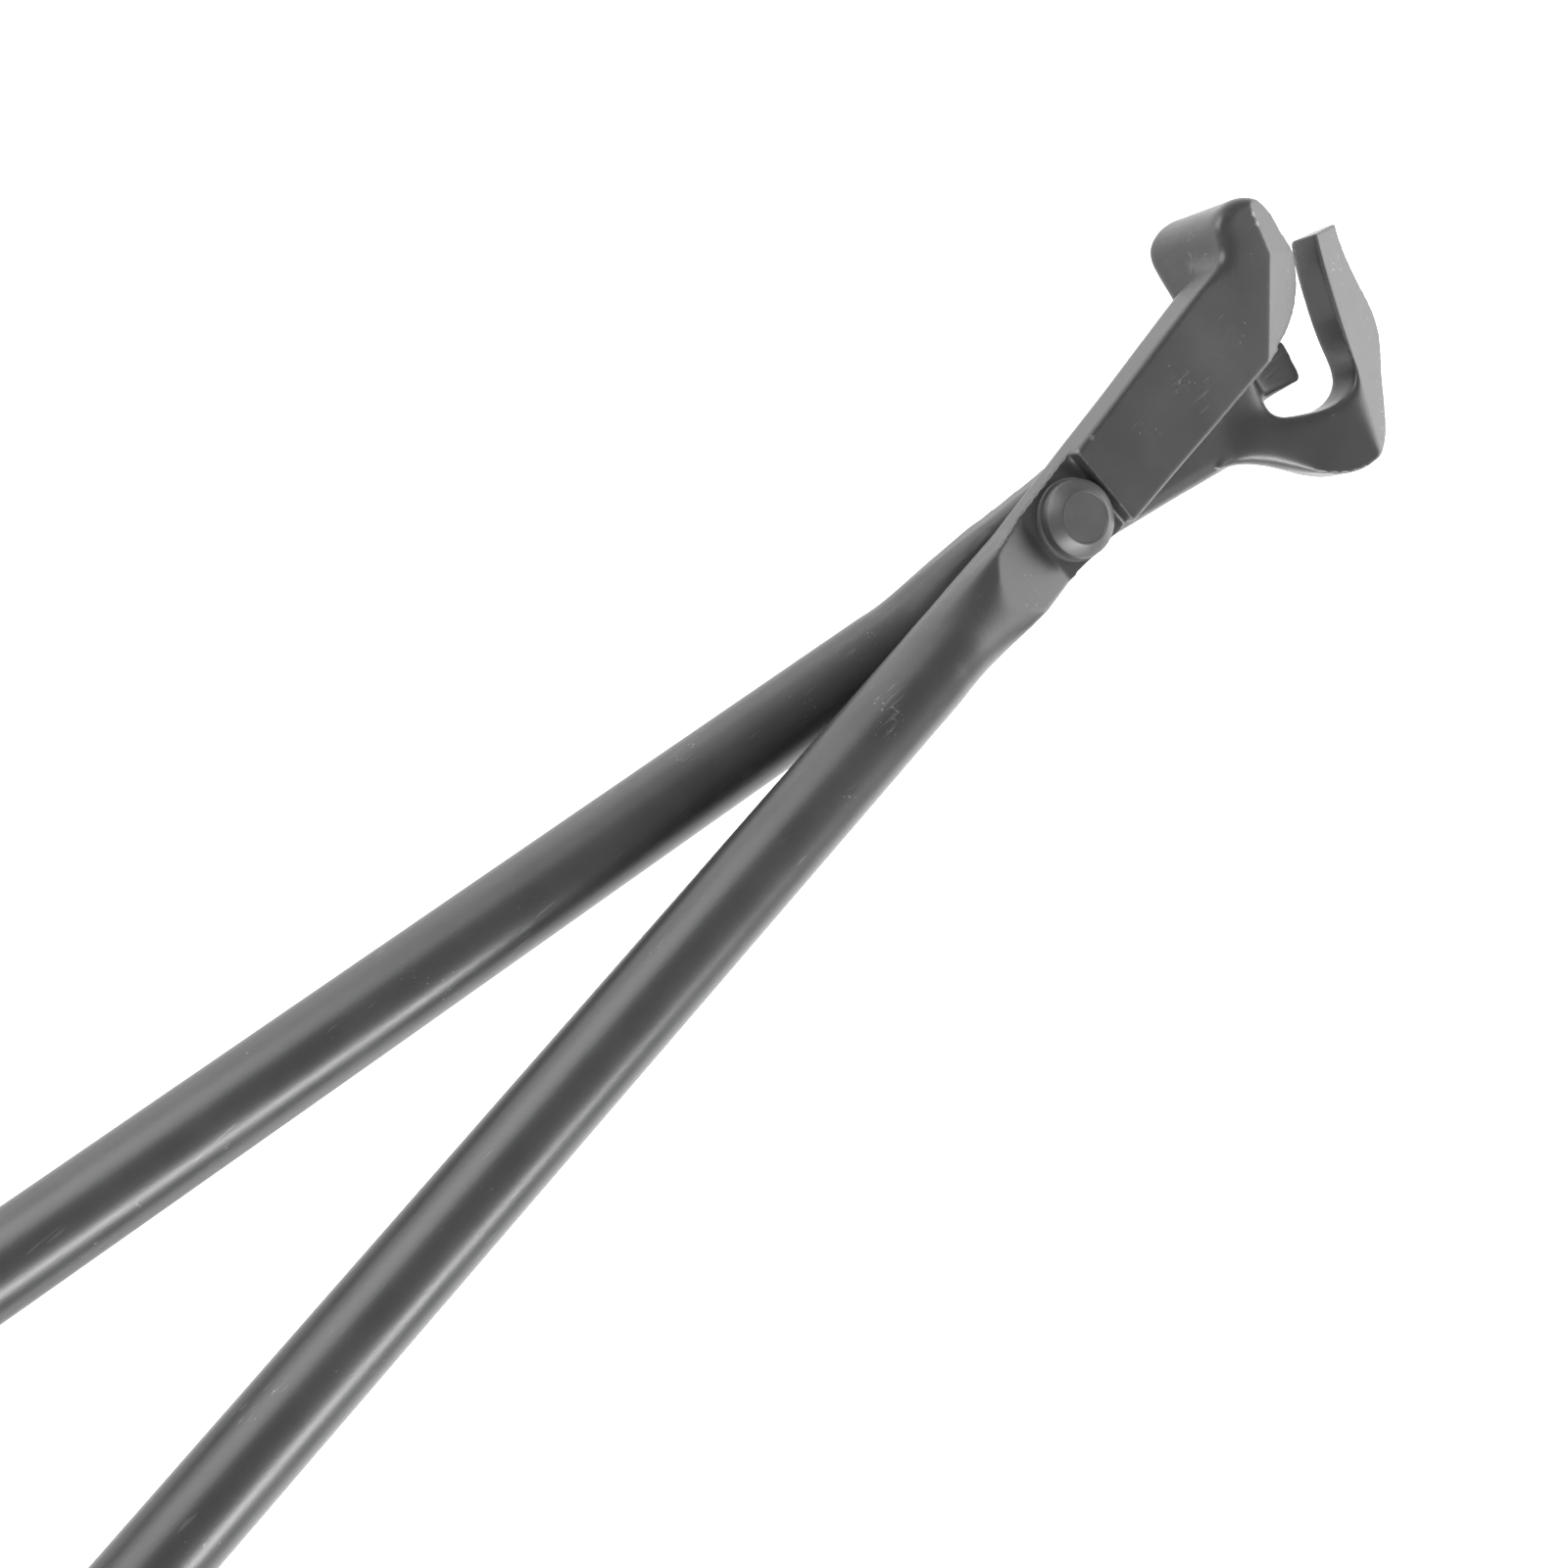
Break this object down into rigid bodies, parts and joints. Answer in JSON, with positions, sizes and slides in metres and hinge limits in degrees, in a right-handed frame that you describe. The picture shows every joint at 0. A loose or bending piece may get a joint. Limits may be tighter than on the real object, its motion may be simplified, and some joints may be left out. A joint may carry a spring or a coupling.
{
  "type": "bolt cutters",
  "caption": "Long-handled forged lever tool: two round-bar arms cross at one pivot bolt, with a bent-back jaw and a hooked jaw that close on each other.",
  "frame": {"origin": "on the pivot axis, midway between the two arms", "axes": "+X from the pivot towards the jaws, +Z along the pivot axis out of the bolt's head"},
  "size_m": [0.6893, 0.1429, 0.045],
  "materials": {
    "forged_steel": "dark satin oxide over forged steel",
    "bolt_steel": "dark satin",
    "washer_steel": "worn satin"
  },
  "bodies": {
    "back_lever": {"back_arm": "forged_steel", "pivot_bolt": "bolt_steel", "pivot_nut": "bolt_steel", "head_washer": "washer_steel", "tail_washer": "washer_steel"},
    "front_lever": {"front_arm": "forged_steel"}
  },
  "joints": [
    {"name": "jaw_pivot", "type": "hinge", "parent": "back_lever", "child": "front_lever", "pos_m": [0, 0, 0], "axis": [0, 0, 1], "range_deg": [-6, 30]}
  ]
}
